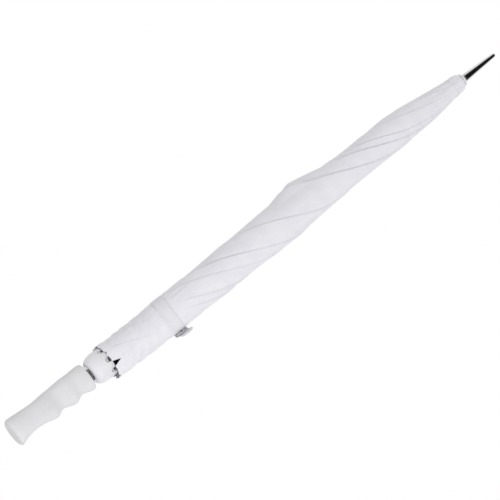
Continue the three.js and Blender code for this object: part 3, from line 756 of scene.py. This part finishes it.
def fold_relief(azimuth, z):
    """Overlapping spiral folds: each rises slowly above the last one and drops at its edge."""
    wound = np.where(z < FOLD_STEEP_Z, z, FOLD_STEEP_Z + (z - FOLD_STEEP_Z) * FOLD_STEEPNESS)
    climb = wound - FOLD_PITCH * (azimuth + math.pi / 2) / (2 * math.pi)
    edges = [*FOLD_CROSSINGS, FOLD_CROSSINGS[0] + FOLD_PITCH]
    at = edges[0] + (climb - edges[0]) % FOLD_PITCH
    relief = np.zeros_like(at)
    for low, high, step in zip(edges, edges[1:], FOLD_STEPS):
        share = np.clip((at - low) / (high - low), 0, 1)
        drop = soft_step((high - at) / FOLD_EDGE)
        relief += np.where((at >= low) & (at < high), step * share**FOLD_RISE * drop, 0)
        for edge in (low, high):
            relief -= FOLD_GROOVE * np.exp(-(((at - edge) / FOLD_GROOVE_REACH) ** 2))
    return relief * along(FOLD_STRENGTH, z)


def crease_relief(azimuth, z):
    phase = CREASES_ROUND * azimuth + 2 * math.pi * z / CREASE_CLIMB + waves(azimuth, z, CREASE_WARP)
    height = CREASE_HEIGHT * (0.6 + waves(azimuth, z, CREASE_VARIATION))
    crease = (0.5 + 0.5 * np.sin(phase)) ** CREASE_SHARPNESS - CREASE_MEAN
    return height * crease * along(CREASE_STRENGTH, z)


def pinch_relief(azimuth, z):
    phase = PINCHES_ROUND * azimuth + PINCH_WARP * np.sin(3 * azimuth) + z / PINCH_CLIMB
    height = PINCH_HEIGHT * (0.5 + 0.5 * np.sin(3 * azimuth + PINCH_PHASE))
    return height * np.sin(phase) * along(PINCH_STRENGTH, z)


def gather_relief(azimuth, z):
    phase = GATHERS_ROUND * azimuth - z / GATHER_CLIMB + waves(azimuth, z, GATHER_WARP)
    height = GATHER_HEIGHT * (0.65 + 0.35 * np.sin(3 * azimuth + GATHER_PHASE))
    return height * ((0.5 + 0.5 * np.sin(phase)) ** GATHER_SHARPNESS - 0.5) * along(GATHER_STRENGTH, z)


def peak_relief(azimuth, z):
    up = np.where(z < PEAK_Z, (PEAK_Z - z) / PEAK_BELOW, (z - PEAK_Z) / PEAK_ABOVE)
    turn = np.angle(np.exp(1j * (azimuth - PEAK_AZIMUTH))) / PEAK_SPREAD
    relief = PEAK_HEIGHT
    for off, rounding, sharpness in zip((up, turn), PEAK_ROUNDING, PEAK_SHARPNESS):
        relief = relief * np.clip(1 - np.sqrt(off**2 + rounding), 0, 1) ** sharpness
    return relief


def strap_relief(azimuth, z):
    off = np.abs(z - STRAP_Z - STRAP_SLANT * STRAP_R * np.sin(azimuth))
    return SWELL_HEIGHT * np.exp(-(((off - SWELL_OFF) / SWELL_REACH) ** 2))


def slack_relief(azimuth, z):
    first, second = (waves(azimuth, z, [term]) for term in SLACK_WAVES)
    return SLACK_HEIGHT * first * second * along(SLACK_STRENGTH, z)


def skin_r(azimuth, z):
    """Outer radius of the furled cloth, about the shaft's axis."""
    r = along(SKIN_R, z) + along(SWAY, z) * np.cos(azimuth)
    reliefs = (
        fold_relief, crease_relief, pinch_relief, strap_relief, gather_relief, peak_relief, slack_relief,
    )
    for relief in reliefs:
        r = r + relief(azimuth, z)
    least = rib_r(z) + RIB_BACK + RIB_COVER + SLEEVE_COVER * soft_step((SLEEVE_Z - z) / SLEEVE_FADE)
    return least + np.logaddexp(0, (r - least) / COVER_SOFTNESS) * COVER_SOFTNESS


def notch_z(i, share):
    """Height of the visible hem of gore i, where share runs from 0 at rib i to 1 at the next rib."""
    depth, middle, half = NOTCHES[i]
    up = 1 - np.abs(share - middle) / half
    dip = HEM_DIP * np.sin(math.pi * np.clip(share, 0, 1)) ** 2
    return HEM_Z - dip + (depth + dip) * np.clip(up, 0, 1) ** NOTCH_BULGE


def gore_width(z):
    """Width of the flat gore at the height that this part of it has when furled."""
    tip_r = HINGE_R + TIP_ALONG * math.sin(OPEN_TILT)
    widest = 2 * tip_r * math.sin(RIB_STEP / 2)
    narrowest = 2 * HINGE_R * math.sin(RIB_STEP / 2)
    return narrowest + (widest - narrowest) * (HINGE_Z - z) / TIP_ALONG


def pleat_points(i):
    """Grid of points (row, column, xyz) of the hidden pleats of gore i, from its seam on rib i outward."""
    columns = PLEATS * PLEAT_COLUMNS
    column = np.arange(columns)
    pleat = column // PLEAT_COLUMNS
    share = (column % PLEAT_COLUMNS) / (PLEAT_COLUMNS - 1)
    share = np.where(pleat % 2 == 0, share, 1 - share)
    depth = (pleat + 0.5) / PLEATS
    rise, power = OPEN_NOTCH_HEM if i == OPEN_NOTCH_GORE else PLEAT_HEM
    bottom = PLEAT_HEM_Z + rise * np.abs(np.sin(math.pi * (column + 1) / columns)) ** power
    up = np.linspace(0, 1, PLEAT_ROWS + 1)[:, None]
    z = bottom + (CANOPY_TOP - bottom) * up
    inner = rib_r(z) + RIB_BACK + PLEAT_OFF_RIB
    mean_skin = along(SKIN_R, z) + along(SWAY, z) * math.cos((i + 0.5) * RIB_STEP)
    outer = np.maximum(mean_skin - PLEAT_CLEARANCE, inner + PLEAT_LEAST_DEPTH)
    r = inner + (outer - inner) * depth
    wide = (gore_width(z) - mean_skin * RIB_STEP) / PLEATS
    wide = np.clip(wide, PLEAT_LEAST_WIDTH, r * RIB_STEP - 2 * PLEAT_MARGIN)
    azimuth = i * RIB_STEP + (PLEAT_MARGIN + share * wide) / r
    return ring_points(r, azimuth, z)


def skin_points(i):
    """Grid of points of the gore's outermost layer, and the height of each above the hem."""
    tuck_share, tuck_depth = np.array(TUCKS).T
    share = np.concatenate([tuck_share, np.linspace(0, 1, SKIN_COLUMNS)])[None, :]
    under = np.concatenate([tuck_depth, np.zeros(SKIN_COLUMNS)])[None, :]
    up = np.linspace(0, 1, PLEAT_ROWS * SKIN_ROWS_PER_PLEAT_ROW + 1)[:, None]
    bottom = notch_z(i, np.maximum(share, 0)) + TUCK_RISE * under
    z = bottom + (CANOPY_TOP - bottom) * up
    azimuth = (i + share) * RIB_STEP + 0 * z
    return ring_points(skin_r(azimuth, z) - under, azimuth, z), z - bottom


def fan_faces(coarse, fine, ratio):
    """Faces that join a column of coarse vertices to a column with ratio times as many rows."""
    faces = []
    for row in range(len(coarse) - 1):
        first = row * ratio
        middle = first + ratio // 2
        faces += [[coarse[row], fine[k], fine[k + 1]] for k in range(first, middle)]
        faces.append([coarse[row], fine[middle], coarse[row + 1]])
        faces += [[coarse[row + 1], fine[k], fine[k + 1]] for k in range(middle, first + ratio)]
    return faces


def path_lengths(points):
    """Distance along each row of a grid of points, from its first column, in metres."""
    steps = np.linalg.norm(np.diff(points, axis=1), axis=2)
    return np.concatenate([np.zeros((len(points), 1)), np.cumsum(steps, axis=1)], axis=1) * MM


def make_gore(i):
    pleats = pleat_points(i)
    skin, above_hem = skin_points(i)
    rows, columns = pleats.shape[:2]
    skin_rows, skin_columns = skin.shape[:2]
    start = rows * columns
    coarse = [row * columns + columns - 1 for row in range(rows)]
    fine = [start + row * skin_columns for row in range(skin_rows)]
    faces = grid_faces(rows, columns) + grid_faces(skin_rows, skin_columns, start)
    faces += fan_faces(coarse, fine, SKIN_ROWS_PER_PLEAT_ROW)
    points = np.concatenate([pleats.reshape(-1, 3), skin.reshape(-1, 3)])

    pleat_u = path_lengths(pleats)
    from_seam = path_lengths(skin)
    pleat_end = np.interp(np.linspace(0, 1, skin_rows), np.linspace(0, 1, rows), pleat_u[:, -1])
    skin_u = from_seam + pleat_end[:, None]
    weave = np.c_[np.concatenate([pleat_u.ravel(), skin_u.ravel()]), points[:, 2] * MM]
    from_seam = np.minimum(from_seam, from_seam[:, -1:] - from_seam)
    edges = np.c_[
        np.concatenate([np.full(start, OFF_SEAM), from_seam.ravel()]),
        np.concatenate([np.full(start, OFF_HEM), above_hem.ravel() * MM]),
    ]
    gore = mesh_piece(f"canopy_gore_{i}", points, faces, CANOPY_CLOTH, {"weave": weave, "edges": edges})
    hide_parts(f"gore_{i}")
    middle = (i + 0.5) * RIB_STEP
    out = Vector((math.cos(middle), math.sin(middle), 0)) * rib_r(HEM_Z) * MM
    out.z = (HEM_Z + CANOPY_TOP) / 2 * MM
    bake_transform(gore)


# ------------------------------------------------------------------------------------ strap and snap
def band(name, line, middle_z, half_width, round_end):
    """A flat sewn band that stands on edge along a line of (x, y) points, with middle_z its height there.
    Gives the piece and its length."""
    line = np.array(line, float)
    count = len(line)
    heading = np.gradient(line, axis=0)
    heading /= np.linalg.norm(heading, axis=1)[:, None]
    normal = np.c_[heading[:, 1], -heading[:, 0]]
    run = np.concatenate([[0], np.cumsum(np.linalg.norm(np.diff(line, axis=0), axis=1))])
    width = np.full(count, half_width)
    if round_end:
        corner = BAND_CORNER * half_width
        off = np.minimum(run[-1] - run, corner)
        width -= corner - np.sqrt(corner**2 - (corner - off) ** 2)
    puff = BAND_THICKNESS * STRAP_THICK / 2
    loop_v = np.concatenate([BAND_ACROSS, BAND_ACROSS[::-1]])
    loop_n = np.concatenate([puff, -puff[::-1]])
    sides = len(loop_v)
    xy = line[:, None, :] + normal[:, None, :] * loop_n[None, :, None]
    z = np.reshape(middle_z, (-1, 1)) + width[:, None] * loop_v[None, :]
    points = np.concatenate([xy, z[..., None]], axis=2)
    faces = grid_faces(count, sides, closed=True) + end_faces(count, sides)
    inset = (width[:, None] * (1 - np.abs(loop_v))[None, :]) * MM
    run_m = np.repeat(run[:, None], sides, axis=1) * MM
    uv = {"weave": np.c_[run_m.ravel(), (z * MM).ravel()], "edges": np.c_[inset.ravel(), run_m.ravel()]}
    return mesh_piece(name, points.reshape(-1, 3), faces, STRAP_CLOTH, uv), run[-1]


def flatten_when_open(piece):
    """Gives the piece a mesh of its own."""
    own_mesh(piece)


def spline(points, count):
    """Points spaced along a smooth curve through the given ones."""
    points = np.array(points, float)
    at = np.arange(len(points))
    share = np.linspace(0, len(points) - 1, count)
    return np.c_[along(np.c_[at, points[:, 0]], share), along(np.c_[at, points[:, 1]], share)]


def make_strap():
    angles = np.linspace(STRAP_START, STRAP_END, STRAP_POINTS)
    line = np.c_[STRAP_CENTRE_X + STRAP_R * np.cos(angles), STRAP_R * np.sin(angles)]
    middle_z = STRAP_Z + STRAP_SLANT * line[:, 1]
    strap, length = band("closure_strap_band", line, middle_z, STRAP_HALF_WIDTH, False)
    finish_piece(strap, "rib_assembly_0", "strap_cloth", "closure_strap")
    flatten_when_open(strap)


def make_tab():
    line = spline(TAB_PATH, TAB_POINTS) + [STRAP_CENTRE_X, 0]
    middle_z = np.full(TAB_POINTS, STRAP_Z + TAB_RAISE)
    tab, length = band("strap_tab_flap", line, middle_z, TAB_HALF_WIDTH, True)
    finish_piece(tab, "strap_tab_body", "strap_cloth", "strap_tab")
    flatten_when_open(tab)


def make_snap(name, node, body, outline, material):
    """A disc of the snap, its outline turned about +X and standing on the inner face of the node."""
    low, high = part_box(node)
    place = Matrix.Translation((low.x / MM, 0, STRAP_Z)) @ Matrix.Rotation(math.pi / 2, 4, "Y")
    thickness = (high.x - low.x) / MM
    scaled = [(r, share * thickness) for r, share in outline]
    piece = turned(name, rounded(scaled, SNAP_EDGE_R), material, SNAP_SIDES, place)
    finish_piece(piece, body, "chrome", node)
    flatten_when_open(piece)


# ------------------------------------------------------------------------------------ carried-over nodes
def dress_frame():
    """Materials of the CAD nodes that stay: the steel parts and the moulded runner and notch."""
    moulded = {"runner", "notch"}
    for name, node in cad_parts.items():
        if node.hide_render:
            continue
        material = WHITE_PLASTIC if name in moulded else STEEL
        if not node.material_slots:
            node.data.materials.append(material)
        for held in node.material_slots:
            held.material = material


# ------------------------------------------------------------------------------------ studio
def make_camera():
    forward = Vector((0, math.cos(CAMERA_TILT), math.sin(CAMERA_TILT)))
    level_right = Vector((1, 0, 0))
    level_up = level_right.cross(forward)
    right = math.cos(CAMERA_ROLL) * level_up + math.sin(CAMERA_ROLL) * level_right
    up = right.cross(forward)
    data = bpy.data.cameras.new("camera")
    data.lens = CAMERA_LENS
    data.sensor_width = SENSOR_WIDTH
    data.clip_start, data.clip_end = CLIP_RANGE
    camera = bpy.data.objects.new("camera", data)
    turn = Matrix((right, up, -forward)).transposed().to_4x4()
    at = (Vector(CAMERA_AIM) - forward * CAMERA_DISTANCE) * MM
    camera.matrix_world = Matrix.Translation(at) @ turn
    bpy.context.scene.collection.objects.link(camera)
    bpy.context.scene.camera = camera


def make_floor():
    material, tree, shader = new_material("floor", (0.74, 0.74, 0.745), 0.85)
    cloudy = noise(tree, object_point(tree), 1.5)
    tree.links.new(tint(tree, cloudy, (0.73, 0.73, 0.735), (0.75, 0.75, 0.755)), shader.inputs["Base Color"])
    corners = [(x * FLOOR_HALF, y * FLOOR_HALF, FLOOR_Z) for x, y in ((-1, -1), (1, -1), (1, 1), (-1, 1))]
    mesh_piece("floor", corners, [[0, 1, 2, 3]], material)


def make_world():
    """A white surround, as the camera sees it. What lights the object is stronger from +X, the front and
    below, and what polished metal reflects has a dark panel on the camera's side."""
    world = bpy.data.worlds.new("studio")
    bpy.context.scene.world = world
    world.use_nodes = True
    tree = world.node_tree
    tree.nodes.clear()
    direction = add(tree, "ShaderNodeTexCoord").outputs["Generated"]

    def facing(side):
        inputs = {0: direction, 1: side}
        return add(tree, "ShaderNodeVectorMath", {"operation": "DOT_PRODUCT"}, inputs).outputs["Value"]

    def choice(ray, other, chosen):
        inputs = {"Factor": ray, "A": other, "B": chosen}
        return add(tree, "ShaderNodeMix", None, inputs).outputs["Result"]

    lighting = ramp(tree, facing(BRIGHT_SIDE), *LIGHTING, -1, 1)
    reflected = ramp(tree, facing(DARK_SIDE), *REFLECTED, *DARK_EDGE)
    rays = add(tree, "ShaderNodeLightPath").outputs
    unseen = choice(rays["Is Glossy Ray"], lighting, reflected)
    seen = choice(rays["Is Camera Ray"], unseen, 1.0)
    background = add(tree, "ShaderNodeBackground", None, {"Color": (1, 1, 1, 1), "Strength": seen})
    output = add(tree, "ShaderNodeOutputWorld")
    tree.links.new(background.outputs[0], output.inputs[0])


def make_lamp():
    """A soft square lamp aimed at the middle of the umbrella."""
    data = bpy.data.lights.new("key_lamp", "AREA")
    data.size = LAMP_SIZE
    data.energy = LAMP_POWER
    lamp = bpy.data.objects.new("key_lamp", data)
    lamp.location = LAMP_PLACE
    aim = Vector(CAMERA_AIM) * MM - Vector(LAMP_PLACE)
    lamp.rotation_euler = aim.to_track_quat("-Z", "Y").to_euler()
    lamp.visible_glossy = False
    bpy.context.scene.collection.objects.link(lamp)


# ------------------------------------------------------------------------------------ building
make_camera()
make_floor()
make_world()
make_lamp()
bpy.context.scene.view_settings.view_transform = "Standard"

make_grip()
make_ferrule_ring()
make_tip_cup()
make_collar()
make_spike()
make_crown()
for rib in range(RIBS):
    make_rib_tip(rib)
    make_gore(rib)
make_snap("snap_socket_disc", "snap_socket", "rib_assembly_0", SNAP_SOCKET, CHROME)
make_snap("snap_cap_disc", "snap_cap", "strap_tab_body", SNAP_CAP, SATIN_NICKEL)
make_strap()
make_tab()
dress_frame()
